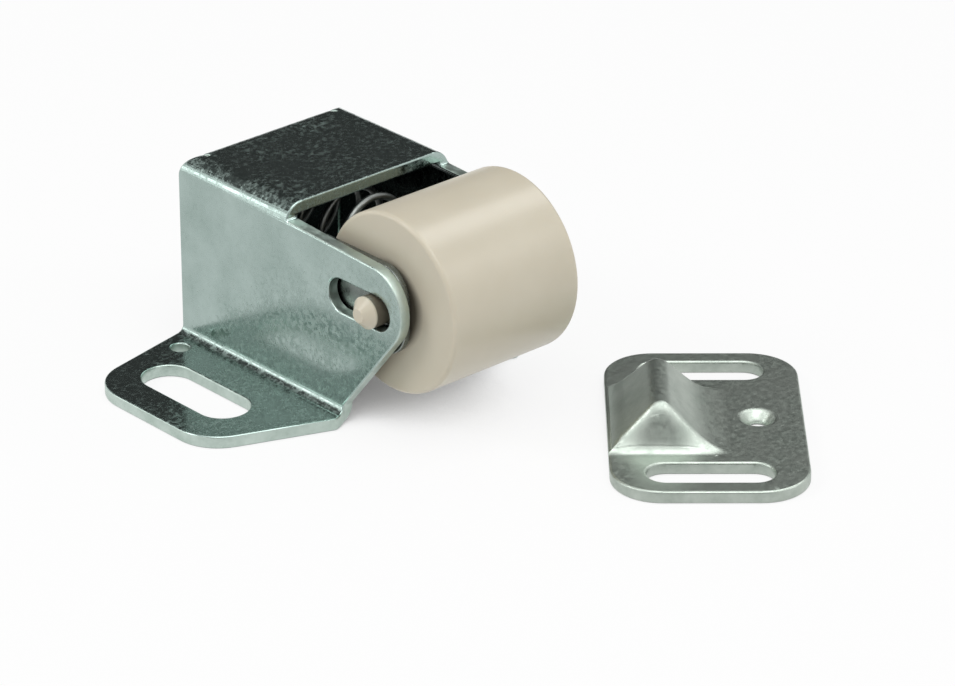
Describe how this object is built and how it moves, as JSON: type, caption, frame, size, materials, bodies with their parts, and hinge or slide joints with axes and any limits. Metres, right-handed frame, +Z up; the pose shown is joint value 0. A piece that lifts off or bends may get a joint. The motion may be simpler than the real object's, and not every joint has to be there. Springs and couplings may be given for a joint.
{
  "type": "roller catch",
  "caption": "Door catch with a sprung cream roller in a folded plated steel case with slotted flanges, and its ridged strike plate.",
  "frame": {"origin": "on the underside of the flanges, midway between the two screw slots", "axes": "+X along the roller's axis, -Y towards the roller's side, +Z up from the mounting face"},
  "size_m": [0.0511, 0.0613, 0.0217],
  "materials": {
    "plated_steel": "bright zinc plate",
    "cream_plastic": "satin moulded",
    "spring_steel": "drawn wire",
    "strike_steel": "bright zinc plate"
  },
  "bodies": {
    "frame": {"case": "plated_steel", "spring": "spring_steel", "strike_plate": "strike_steel"},
    "carriage": {"carrier": "plated_steel"},
    "roller": {"roller": "cream_plastic"}
  },
  "joints": [
    {"name": "carriage_slide", "type": "slide", "parent": "frame", "child": "carriage", "axis": [0, 1, 0], "range_m": [-0.0008, 0.0043], "stiffness_N_per_m": 1200, "deforming": ["spring"]},
    {"name": "roller_spin", "type": "hinge", "parent": "carriage", "child": "roller", "pos_m": [0, -0.0166, 0.013], "axis": [1, 0, 0], "continuous": true}
  ]
}
